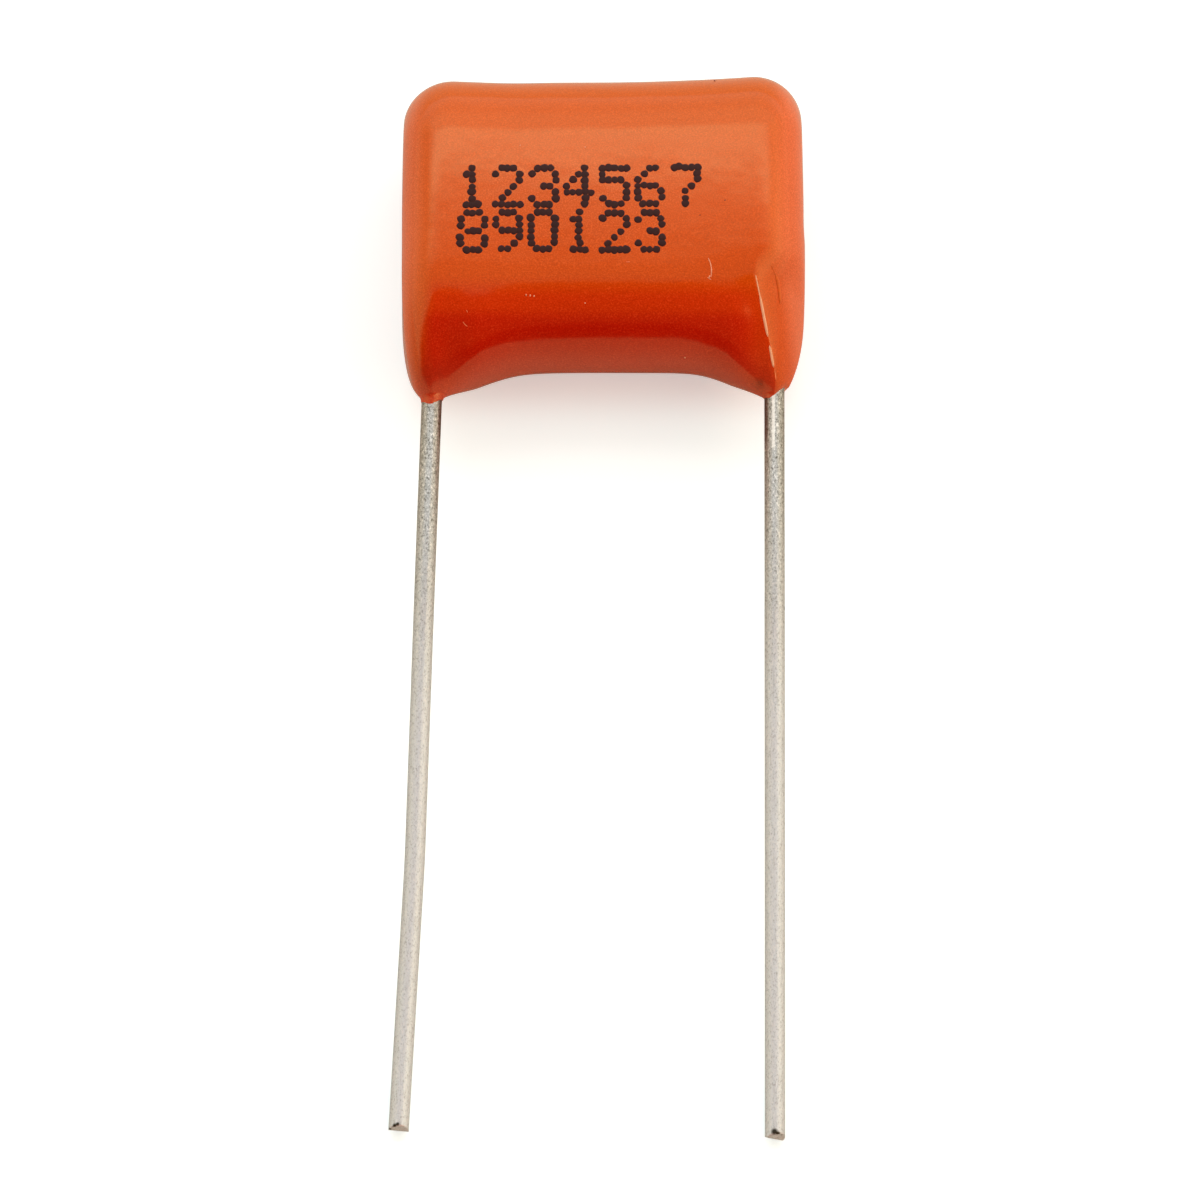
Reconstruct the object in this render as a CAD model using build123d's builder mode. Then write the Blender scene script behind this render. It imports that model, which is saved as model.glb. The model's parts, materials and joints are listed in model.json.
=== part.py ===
from build123d import *
from math import cos, radians, sin, sqrt
import os

# Dipped polypropylene film capacitor with two radial leads, lying on its flat back.
# X runs along the lead pitch, Y along the body away from the leads, Z out of the flat back.
# The origin is the centre of the flat back face. Millimetres and degrees.

# Leads
lead_pitch = 10.0             # between the lead axes at the coating
lead_diameter = 0.6
left_lead_length = 22.0       # exposed, from the leg's tip
right_lead_length = 22.2
board_run = 4.5               # exposed length up to the corner of the droop, for a board hole
droop_radius = 30.0           # bend down toward the surface that the capacitor lies on
left_splay = 2.0              # outward, from the coating on
left_kink = 1.35              # more outward, nearer the tip
kink_to_tip = 8.0
kink_radius = 40.0
splay_radius = 2.0            # bend inside the coating's leg
splay_depth = 0.15            # how deep that bend's corner lies in the leg
weld_length = 5.0             # lead pressed onto its end contact, from the contact's edge up
weld_sink = 0.05              # depth of that press
shear_angle = 35.0            # each face of a sheared tip, from square
left_shear_roll = 10.0        # turn of a tip's edge about its lead
right_shear_roll = 40.0

# Coating
body_height = 8.66            # along Y, without the legs
body_thickness = 5.0
coat_on_faces = 0.55          # over the flat faces and the rounds of the element
coat_on_leads = 0.59          # outside the leads, at the two ends of the body
end_round = 1.3
leg_drop = 0.97               # how far a leg runs down its lead, below the body
leg_spread = 2.9              # from its lead toward the middle, where a leg starts
leg_side = 2.3                # height over which a leg's outer side closes on its lead
collar_root = 0.2             # meniscus around a lead: its thickness where it leaves the leg,
collar_rim = 0.05             # and at its edge,
collar_depth = 0.42           # its start above the leg's tip
collar_run = 0.12             # and its end below it

# Element
wrap_thickness = 0.15
contact_thickness = 0.5
contact_chamfer = 0.2
mandrel_slit = 0.12

mid_height = body_thickness / 2
lead_radius = lead_diameter / 2
lead_x = lead_pitch / 2
body_width = lead_pitch + lead_diameter + 2 * coat_on_leads
round_spacing = body_height - body_thickness
element_thickness = body_thickness - 2 * coat_on_faces
roll_thickness = element_thickness - 2 * wrap_thickness
contact_outer_x = lead_x - lead_radius + weld_sink
contact_inner_x = contact_outer_x - contact_thickness
element_edge_y = -(round_spacing + element_thickness) / 2
body_edge_y = -body_height / 2
leg_tip_y = body_edge_y - leg_drop
leg_side_y = leg_tip_y + leg_side

# Each lead runs straight out of its leg, then slopes down until its tip meets the surface.
left_slope_run = left_lead_length - board_run
right_slope_run = right_lead_length - board_run
kink_height = mid_height - (mid_height - lead_radius) * (1 - kink_to_tip / left_slope_run)


def outward(start, angle, run, height):
    """Point a horizontal run on from start, toward -Y and turned outward by angle."""
    x = start[0] - run * sin(radians(angle))
    y = start[1] - run * cos(radians(angle))
    return (x, y, height)


def tip_faces(end, direction, roll):
    """The two planes of a sheared tip, which meet in an edge through the lead's end."""
    square = Plane(end, x_dir=(1, 0, 0), z_dir=direction).rotated((0, 0, roll))
    return [square.rotated((angle, 0, 0)) for angle in (shear_angle, -shear_angle)]


weld_top_y = element_edge_y + weld_length
left_weld = (-lead_x, weld_top_y, mid_height)
left_bend = (-lead_x, leg_tip_y + splay_depth, mid_height)
left_droop = outward(left_bend, left_splay, splay_depth + board_run, mid_height)
left_kinked = outward(left_droop, left_splay, left_slope_run - kink_to_tip, kink_height)
left_tip = outward(left_kinked, left_splay + left_kink, kink_to_tip, lead_radius)

right_weld = (lead_x, weld_top_y, mid_height)
right_droop = (lead_x, leg_tip_y - board_run, mid_height)
right_tip = (lead_x, leg_tip_y - right_lead_length, lead_radius)

with BuildPart() as lead_left:
    with BuildLine() as left_path:
        FilletPolyline(
            left_weld, left_bend, left_droop, left_kinked, left_tip,
            radius=(splay_radius, droop_radius, kink_radius),
        )
    with BuildSketch(Plane(left_weld, z_dir=left_path.line % 0)):
        Circle(lead_radius)
    sweep()
    for face in tip_faces(left_tip, left_path.line % 1, left_shear_roll):
        split(bisect_by=face, keep=Keep.BOTTOM)

with BuildPart() as lead_right:
    with BuildLine() as right_path:
        FilletPolyline(right_weld, right_droop, right_tip, radius=droop_radius)
    with BuildSketch(Plane(right_weld, z_dir=right_path.line % 0)):
        Circle(lead_radius)
    sweep()
    for face in tip_faces(right_tip, right_path.line % 1, right_shear_roll):
        split(bisect_by=face, keep=Keep.BOTTOM)

# The roll is wound round and pressed flat, so the mandrel's hole closes to a slit.
with BuildPart() as film_winding:
    with BuildSketch(Plane.YZ.offset(-contact_inner_x)):
        with Locations((0, mid_height)):
            SlotCenterToCenter(round_spacing, roll_thickness)
            SlotCenterToCenter(round_spacing, mandrel_slit, mode=Mode.SUBTRACT)
    extrude(amount=2 * contact_inner_x)

with BuildPart() as outer_wrap:
    with BuildSketch(Plane.YZ.offset(-contact_inner_x)):
        with Locations((0, mid_height)):
            SlotCenterToCenter(round_spacing, element_thickness)
            SlotCenterToCenter(round_spacing, roll_thickness, mode=Mode.SUBTRACT)
    extrude(amount=2 * contact_inner_x)

# The sprayed metal covers the roll's ends, and each lead is pressed a little way into it.
with BuildPart() as end_contact_left:
    with BuildSketch(Plane.YZ.offset(-contact_inner_x)):
        with Locations((0, mid_height)):
            SlotCenterToCenter(round_spacing, element_thickness)
    extrude(amount=-contact_thickness)
    chamfer(faces().sort_by(Axis.X)[0].edges(), contact_chamfer)
    add(lead_left.part, mode=Mode.SUBTRACT)

with BuildPart() as end_contact_right:
    with BuildSketch(Plane.YZ.offset(contact_inner_x)):
        with Locations((0, mid_height)):
            SlotCenterToCenter(round_spacing, element_thickness)
    extrude(amount=contact_thickness)
    chamfer(faces().sort_by(Axis.X)[-1].edges(), contact_chamfer)
    add(lead_right.part, mode=Mode.SUBTRACT)

# Seen along the leads' pitch the coating is a racetrack. Its lower round lengthens to an
# elliptic nose on the way to each lead, so the coating runs down the leads as two legs. Past
# the leads the sections shrink to round off the body's ends, and the legs' outer sides close
# on the leads.
leg_start_x = lead_x - leg_spread
crest_x = body_width / 2 - end_round
lower_centre = (-round_spacing / 2, mid_height)


def coating_section(x, inset, tip_y):
    """The coating's outline at x: the body's racetrack less inset, down to tip_y."""
    half = mid_height - inset
    with BuildSketch(Plane.YZ.offset(x)) as section:
        with BuildLine():
            EllipticalCenterArc(
                lower_centre, lower_centre[0] - tip_y, half, start_angle=90, arc_size=180
            )
            Line((-round_spacing / 2, inset), (round_spacing / 2, inset))
            ThreePointArc(
                (round_spacing / 2, inset),
                (body_height / 2 - inset, mid_height),
                (round_spacing / 2, body_thickness - inset),
            )
            Line(
                (round_spacing / 2, body_thickness - inset),
                (-round_spacing / 2, body_thickness - inset),
            )
        make_face()
    return section.sketch


def end_section(turn):
    """The outline where the end's rounding has turned by this angle."""
    x = crest_x + end_round * sin(radians(turn))
    inset = end_round * (1 - cos(radians(turn)))
    beyond = min(max(x - lead_x, 0) / (body_width / 2 - lead_x), 1)
    tip_y = leg_side_y - (leg_side_y - leg_tip_y) * sqrt(1 - beyond**2)
    return coating_section(x, inset, tip_y)


with BuildPart() as epoxy_coating:
    extrude(coating_section(0, 0, body_edge_y), amount=leg_start_x)
    start = coating_section(leg_start_x, 0, body_edge_y)
    full = coating_section(crest_x, 0, leg_tip_y)
    loft([start, full], ruled=True)
    loft([full] + [end_section(turn) for turn in (20, 40, 60, 75, 90)])
    collar_plane = Plane((lead_x, leg_tip_y + collar_depth, mid_height), z_dir=(0, -1, 0))
    with Locations(collar_plane):
        Cone(
            lead_radius + collar_root,
            lead_radius + collar_rim,
            collar_depth + collar_run,
            align=(Align.CENTER, Align.CENTER, Align.MIN),
        )
    mirror(about=Plane.YZ)
    with BuildSketch(Plane.YZ.offset(-contact_inner_x)):
        with Locations((0, mid_height)):
            SlotCenterToCenter(round_spacing, element_thickness)
    extrude(amount=2 * contact_inner_x, mode=Mode.SUBTRACT)
    for inner in (end_contact_left, end_contact_right, lead_left, lead_right):
        add(inner.part, mode=Mode.SUBTRACT)

nodes = {
    "epoxy_coating": epoxy_coating,
    "outer_wrap": outer_wrap,
    "film_winding": film_winding,
    "end_contact_left": end_contact_left,
    "end_contact_right": end_contact_right,
    "lead_left": lead_left,
    "lead_right": lead_right,
}
os.makedirs("parts", exist_ok=True)
for name, node in nodes.items():
    node.part.label = name
    export_step(node.part, f"parts/{name}.step")
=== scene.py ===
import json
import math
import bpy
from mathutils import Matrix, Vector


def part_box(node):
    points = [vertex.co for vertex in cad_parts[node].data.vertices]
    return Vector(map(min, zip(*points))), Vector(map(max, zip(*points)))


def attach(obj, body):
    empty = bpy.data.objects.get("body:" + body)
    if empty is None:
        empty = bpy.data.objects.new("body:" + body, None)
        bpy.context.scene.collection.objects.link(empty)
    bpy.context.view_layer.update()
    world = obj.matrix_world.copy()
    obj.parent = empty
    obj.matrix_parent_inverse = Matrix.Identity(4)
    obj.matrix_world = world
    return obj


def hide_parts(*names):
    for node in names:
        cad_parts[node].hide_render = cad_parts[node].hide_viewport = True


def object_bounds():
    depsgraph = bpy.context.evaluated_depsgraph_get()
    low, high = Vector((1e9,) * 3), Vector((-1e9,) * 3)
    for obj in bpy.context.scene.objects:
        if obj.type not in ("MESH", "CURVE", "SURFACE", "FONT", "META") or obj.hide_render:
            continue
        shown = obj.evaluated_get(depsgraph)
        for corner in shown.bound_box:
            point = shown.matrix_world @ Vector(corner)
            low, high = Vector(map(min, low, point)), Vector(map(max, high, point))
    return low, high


bl_info = {
    "name": "Dipped Film Capacitor",
    "version": (1, 0, 0),
    "blender": (4, 5, 0),
    "location": "3D View > Sidebar > Film Capacitor",
    "description": "Coat, leads and marking of a dipped film capacitor around its packed model",
    "category": "Add Mesh",
}

from dataclasses import astuple, dataclass

import bpy
import numpy as np
from bpy.props import FloatProperty, FloatVectorProperty, IntProperty, PointerProperty
from bpy.props import StringProperty
from mathutils import Vector

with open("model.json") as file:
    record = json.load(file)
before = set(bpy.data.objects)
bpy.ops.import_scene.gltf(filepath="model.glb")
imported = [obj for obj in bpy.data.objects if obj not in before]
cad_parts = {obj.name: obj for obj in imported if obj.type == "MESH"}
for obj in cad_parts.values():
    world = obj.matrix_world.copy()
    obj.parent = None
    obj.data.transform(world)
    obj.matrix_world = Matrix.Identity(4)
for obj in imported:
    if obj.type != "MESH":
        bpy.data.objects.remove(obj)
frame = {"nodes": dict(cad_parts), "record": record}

# X runs along the lead pitch, Y along the body away from the leads, Z out of the flat back.
MM = 0.001
CAD_BOX = [list(corner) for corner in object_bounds()]
COAT_LOW, COAT_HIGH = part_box("epoxy_coating")
MOUNTS = {mount["name"]: mount for mount in frame["record"]["mounts"]}
LEAD_X = MOUNTS["lead_right_end"]["pos_m"][0]
LEAD_RADIUS = MOUNTS["lead_right_end"]["dims"]["r_mm"] * MM
LEG_END_Y = MOUNTS["board_seat"]["pos_m"][1]
HALF_WIDTH = (COAT_HIGH.x - COAT_LOW.x) / 2
HALF_HEIGHT = COAT_HIGH.y
HALF_THICKNESS = (COAT_HIGH.z - COAT_LOW.z) / 2
MID_Z = (COAT_HIGH.z + COAT_LOW.z) / 2


def length(name, description, millimetres):
    """A length property with its default in millimetres."""
    return FloatProperty(
        name=name,
        description=description,
        default=millimetres * MM,
        precision=5,
        subtype="DISTANCE",
        unit="LENGTH",
    )


def share(name, description, value):
    """A property from 0 to 1."""
    return FloatProperty(
        name=name, description=description, default=value, min=0, max=1, subtype="FACTOR"
    )


def colour(name, description, value):
    """A linear colour property."""
    return FloatVectorProperty(
        name=name, description=description, default=value, min=0, max=1, subtype="COLOR"
    )


class CoatSettings(bpy.types.PropertyGroup):
    """Form and finish of the dipped epoxy coat."""

    mesh_step: length("Mesh step", "Spacing of the coat's mesh", 0.075)
    crown: length("Crown", "How far the marked face bulges between its rounds", 0.06)
    cross_crown: length("Cross crown", "Fall of the face toward its two ends", 0.03)
    side_bow: length("Side bow", "Fall of the ends toward the top edge", 0.09)
    wave: length("Waviness", "Height of the slow waves in the dipped surface", 0.006)
    colour: colour("Epoxy", "Orange of the epoxy", (0.67, 0.073, 0.0003))
    # Painted light: the top edge, which faces the bright back of the panel, is painted lighter.
    painted_top_light_colour: colour("Thin epoxy", "Epoxy at the top edge", (0.67, 0.103, 0.002))
    # Painted shade: the lower round and the lower edge, which face away from the panel, are
    # painted darker.
    painted_round_shade_colour: colour("Thick epoxy", "Epoxy on the lower round", (0.655, 0.032, 0.0002))
    painted_edge_shade_colour: colour("Deep epoxy", "Epoxy at the lower edge", (0.575, 0.011, 0.0002))
    # Painted light: bounce from the white table, painted on the lower round near the back.
    painted_table_bounce_colour: colour("Lower epoxy", "Epoxy that faces the table", (0.60, 0.062, 0.022))
    # Painted light: the two ends, lit by the flank lights, are painted paler.
    painted_end_light_colour: colour("Rim epoxy", "Epoxy at the body's two ends", (0.79, 0.148, 0.05))
    dirt_colour: colour("Flux stain", "Brown residue near the leads", (0.19, 0.014, 0.002))
    roughness: share("Roughness", "Roughness of the clean coat", 0.13)
    gloss: share("Gloss", "Strength of the coat's reflections", 0.75)


class LeadSettings(bpy.types.PropertyGroup):
    """Form and finish of the tinned wires."""

    around: IntProperty(
        name="Around", description="Mesh points round a wire", default=96, min=12
    )
    step: length("Step", "Mesh spacing along a wire", 0.07)
    groove: length("Groove", "Depth of the deepest draw line", 0.006)
    colour: colour("Tin", "Colour of the tinned wire", (0.71, 0.78, 0.83))
    # Painted shade: the wires are painted darker toward the coat.
    painted_shade_and_glint_colour: colour("Dull tin", "Tin dulled near the coat", (0.43, 0.43, 0.41))
    roughness: share("Roughness", "Roughness of the tin", 0.42)


class MarkingSettings(bpy.types.PropertyGroup):
    """Dot-matrix print on the face."""

    first_line: StringProperty(
        name="First line", description="Digits of the upper line", default="1234567"
    )
    second_line: StringProperty(
        name="Second line", description="Digits of the lower line", default="890123"
    )
    start: length("Start", "First column, from the middle of the face", -4.17)
    first_y: length("Upper line", "Middle of the upper line", 0.36)
    line_spacing: length("Line spacing", "From one line to the next", 1.40)
    column_pitch: length("Column pitch", "From dot to dot along a line", 0.173)
    row_pitch: length("Row pitch", "From dot to dot up a digit", 0.188)
    dot: length("Dot", "Diameter of one ink dot", 0.25)
    rise: length("Rise", "Height of one ink dot", 0.012)
    colour: colour("Ink", "Colour of the ink", (0.018, 0.004, 0.004))


class MarkSettings(bpy.types.PropertyGroup):
    """Fine marks on the coat."""

    lint_colour: colour("Lint", "Pale lint and scratches", (0.88, 0.36, 0.21))
    scratch_colour: colour("Scratch", "Faint scratches", (0.78, 0.19, 0.07))
    # Painted highlight: the pale glint along the right leg's crest.
    painted_shade_and_glint_colour: colour("Worn crest", "Epoxy rubbed pale along a crest", (1.0, 0.48, 0.28))
    # Painted shade: a matte strip darkens the fold at the right end.
    crease_shade_colour: colour("Crease", "Epoxy in the crease", (0.68, 0.12, 0.01))
    speck_colour: colour("Speck", "Dark specks", (0.10, 0.012, 0.006))
    step: length("Step", "Mesh spacing along a mark", 0.04)
    flatness: share("Flatness", "Height of a mark's ridge beside its half width", 0.6)


class StageSettings(bpy.types.PropertyGroup):
    """Camera, floor and light."""

    elevation: FloatProperty(
        name="Elevation",
        description="Camera above the horizon",
        default=math.radians(70),
        subtype="ANGLE",
        unit="ROTATION",
    )
    frame_width: length("Frame width", "Width of the picture at the object", 35.0)
    distance: length("Distance", "Camera to object", 1500.0)
    aim_x: length("Aim", "Picture's middle, from the middle of the object", 0.09)
    floor_size: length("Floor", "Width of the floor", 1200.0)
    light: share("Light", "Level of the studio's light", 1.0)


class Value:
    """A shader value. Arithmetic on it adds Math nodes to its tree."""

    def __init__(self, shader, socket):
        self.shader = shader
        self.socket = socket

    def __add__(self, other):
        return self.shader.maths("ADD", self, other)

    def __sub__(self, other):
        return self.shader.maths("SUBTRACT", self, other)

    def __rsub__(self, other):
        return self.shader.maths("SUBTRACT", other, self)

    def __mul__(self, other):
        return self.shader.maths("MULTIPLY", self, other)

    def __truediv__(self, other):
        return self.shader.maths("DIVIDE", self, other)

    def __neg__(self):
        return self.shader.maths("MULTIPLY", self, -1)

    __radd__ = __add__
    __rmul__ = __mul__


class Shader:
    """A node tree that is written as expressions."""

    def __init__(self, owner):
        self.owner = owner
        owner.use_nodes = True
        self.tree = owner.node_tree
        self.tree.nodes.clear()

    def node(self, kind, settings=None, inputs=None, output=0):
        """Adds a node: its settings first, then its sockets, and gives one of its outputs."""
        node = self.tree.nodes.new(kind)
        for name, value in (settings or {}).items():
            setattr(node, name, value)
        for name, value in (inputs or {}).items():
            if isinstance(value, Value):
                self.tree.links.new(value.socket, node.inputs[name])
            else:
                node.inputs[name].default_value = value
        return Value(self, node.outputs[output]) if len(node.outputs) else node

    def maths(self, operation, *operands):
        return self.node("ShaderNodeMath", {"operation": operation}, dict(enumerate(operands)))

    def step(self, value, low, high):
        """0 below low, 1 above high, smooth between."""
        return self.node(
            "ShaderNodeMapRange",
            {"interpolation_type": "SMOOTHSTEP"},
            {"Value": value, "From Min": low, "From Max": high},
        )

    def clamp(self, value):
        return self.node("ShaderNodeClamp", None, {"Value": value})

    def absolute(self, value):
        return self.maths("ABSOLUTE", value)

    def blend(self, factor, first, second, mode="MIX"):
        """Mixes two colours."""
        ends = [c if isinstance(c, Value) else (*c[:3], 1) for c in (first, second)]
        settings = {"data_type": "RGBA", "blend_type": mode}
        return self.node("ShaderNodeMix", settings, {0: factor, 6: ends[0], 7: ends[1]}, output=2)

    def combined(self, red, green, blue):
        """A colour from its three parts."""
        return self.node("ShaderNodeCombineColor", None, {0: red, 1: green, 2: blue})

    def position(self):
        """The point in the object's own coordinates, in metres."""
        return self.node("ShaderNodeTexCoord", output="Object")

    def stretched(self, vector, scale):
        """A vector with its three parts scaled."""
        return self.node(
            "ShaderNodeVectorMath", {"operation": "MULTIPLY"}, {0: vector, 1: scale}
        )

    def parts(self, vector):
        """The three parts of a vector."""
        split = self.node("ShaderNodeSeparateXYZ", None, {0: vector}).socket.node
        return [Value(self, socket) for socket in split.outputs]

    def grain(self, vector, size, detail=2.0, roughness=0.5):
        """Noise from 0 to 1 with features of about this size in metres."""
        return self.node(
            "ShaderNodeTexNoise",
            None,
            {"Vector": vector, "Scale": 1 / size, "Detail": detail, "Roughness": roughness},
        )

    def near(self, vector, point, radius, soft=0.5):
        """1 within radius of a point, falling to 0 outside it."""
        reach = self.node(
            "ShaderNodeVectorMath",
            {"operation": "DISTANCE"},
            {0: vector, 1: point},
            output="Value",
        )
        return 1 - self.step(reach, radius * (1 - soft), radius * (1 + soft))

    def bump(self, height, distance, normal=None):
        """A Bump node; height times distance is the real height."""
        inputs = {"Height": height, "Distance": distance, "Strength": 1.0}
        if normal is not None:
            inputs["Normal"] = normal
        return self.node("ShaderNodeBump", None, inputs)

    def finish(self, **sockets):
        """Sets the surface from the Principled sockets given, and returns the material."""
        inputs = {name.replace("_", " "): value for name, value in sockets.items()}
        for name, value in inputs.items():
            if isinstance(value, tuple) and len(value) == 3:
                inputs[name] = (*value, 1)
        surface = self.node("ShaderNodeBsdfPrincipled", None, inputs)
        self.node("ShaderNodeOutputMaterial", None, {"Surface": surface})
        return self.owner


def smooth(low, high, value):
    """0 below low, 1 above high, smooth between."""
    t = np.clip((value - low) / (high - low), 0, 1)
    return t * t * (3 - 2 * t)


def unit(vectors):
    """The vectors at length 1."""
    return vectors / np.linalg.norm(vectors, axis=1)[:, None]


def ramp(value, knee):
    """0 for low values and the value itself for high ones, with a rounded knee at 0."""
    return knee * np.logaddexp(0, value / knee)


def superellipse(along, across, reach, half, power):
    """About the distance to a superellipse's outline, negative inside."""
    u = np.maximum(along, 0) / reach
    v = np.abs(across) / half + 1e-9
    k = (u**power + v**power) ** (1 / power)
    slope = k ** (1 - power) * np.hypot(u ** (power - 1) / reach, v ** (power - 1) / half)
    return (k - 1) / slope


@dataclass
class Leg:
    """One of the coat's two legs, by what sets it apart from the other."""

    start: float          # from the middle to where the lower edge begins to fall
    knee: float           # rounding of that turn
    slope: float          # of the lower edge past it
    early: float          # how much sooner the face turns down beside the leg
    early_width: float
    cone: float           # power of the profile over the lead: 2 is an ellipse, 1 a cone
    full: float           # the same between the body and the lead
    cone_width: float
    cone_rise: float      # share of the profile over which that power comes in
    run: float            # over which the outer side closes on the lead
    crest: float          # from the middle to where the body's end begins to round off,
    crest_low: float      # the same at the leg's end,
    crest_top: float      # the height where it leaves the first for the second,
    crest_in: float       # and how far it moves in toward the body's top
    bevel: float          # sharpness of the crest over the lead
    bevel_top: float      # the height where the crest begins to sharpen
    drip_x: float         # lowest point of the coat's end on the lead
    drip_y: float
    drip_slope: float


LEGS = (
    Leg(
        start=2.765 * MM, knee=0.489 * MM, slope=0.475,
        early=0.33 * MM, early_width=2.6 * MM,
        cone=1.62, full=2.25, cone_width=1.1 * MM, cone_rise=0.684, run=4.60 * MM,
        crest=4.648 * MM, crest_low=5.04 * MM, crest_top=-0.873 * MM, crest_in=0.3 * MM,
        bevel=math.radians(1.0), bevel_top=-1.4 * MM,
        drip_x=-5.07 * MM, drip_y=-5.71 * MM, drip_slope=0.83,
    ),
    Leg(
        start=2.894 * MM, knee=0.333 * MM, slope=0.516,
        early=0.811 * MM, early_width=2.395 * MM,
        cone=1.544, full=2.0, cone_width=1.095 * MM, cone_rise=0.40, run=4.64 * MM,
        crest=4.40 * MM, crest_low=4.98 * MM, crest_top=-2.1 * MM, crest_in=0.1 * MM,
        bevel=math.radians(32.1), bevel_top=-1.4 * MM,
        drip_x=4.84 * MM, drip_y=-5.49 * MM, drip_slope=1.0,
    ),
)
WIDEST_Y = -1.04 * MM          # where the body is widest
SIDE_POWER = 3.3               # how late its outer sides close on the leads
RIGHT_IN = 0.03 * MM           # how far the right end stands in above that
CREST_END_Y = -5.0 * MM        # where the crests end
CREST_BLEND = 0.12 * MM        # rounding of a sharp crest
LEAST_CORNER = 0.2 * MM        # and of the ends where they close on the leads
BEVEL_RUN = 1.2 * MM           # over which a crest sharpens
DRIP_FLARE = 0.1               # how fast a drip widens up its lead
DRIP_RADIUS = 0.36 * MM        # the widest that it gets
DRIP_TOP_Y = LEG_END_Y + 2 * MM
DRIP_BLEND = 0.08 * MM
LOWER_BULGE = 0.06 * MM        # how far the lower edge stands out all along
TOP_BULGE = 0.033 * MM         # the same for the top edge
TOP_EARS = (0.06 * MM, 0.245 * MM)   # how far its left and right corners stand up
TOP_DIP = 0.05 * MM            # a shallow dip in it, left of the middle
TOP_DIP_X = -2.6 * MM
TOP_DIP_WIDTH = 1.3 * MM


def leg_at(x):
    """The sizes of the leg on each point's own side of the body."""
    left, right = (astuple(leg) for leg in LEGS)
    return Leg(*(np.where(x < 0, first, second) for first, second in zip(left, right)))


def crest_x(x, y):
    """Where the body's end begins to round off, from the middle."""
    leg = leg_at(x)
    closing = np.clip((leg.crest_top - y) / (leg.crest_top - CREST_END_Y), 0, 1)
    inward = leg.crest_in * (np.maximum(y, 0) / HALF_HEIGHT) ** 2
    return leg.crest + (leg.crest_low - leg.crest) * closing - inward


def harder(first, second, blend):
    """The larger of two fields, with a rounded edge where they cross."""
    gap = np.clip(0.5 + 0.5 * (first - second) / blend, 0, 1)
    return second + (first - second) * gap + blend * gap * (1 - gap)


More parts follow.
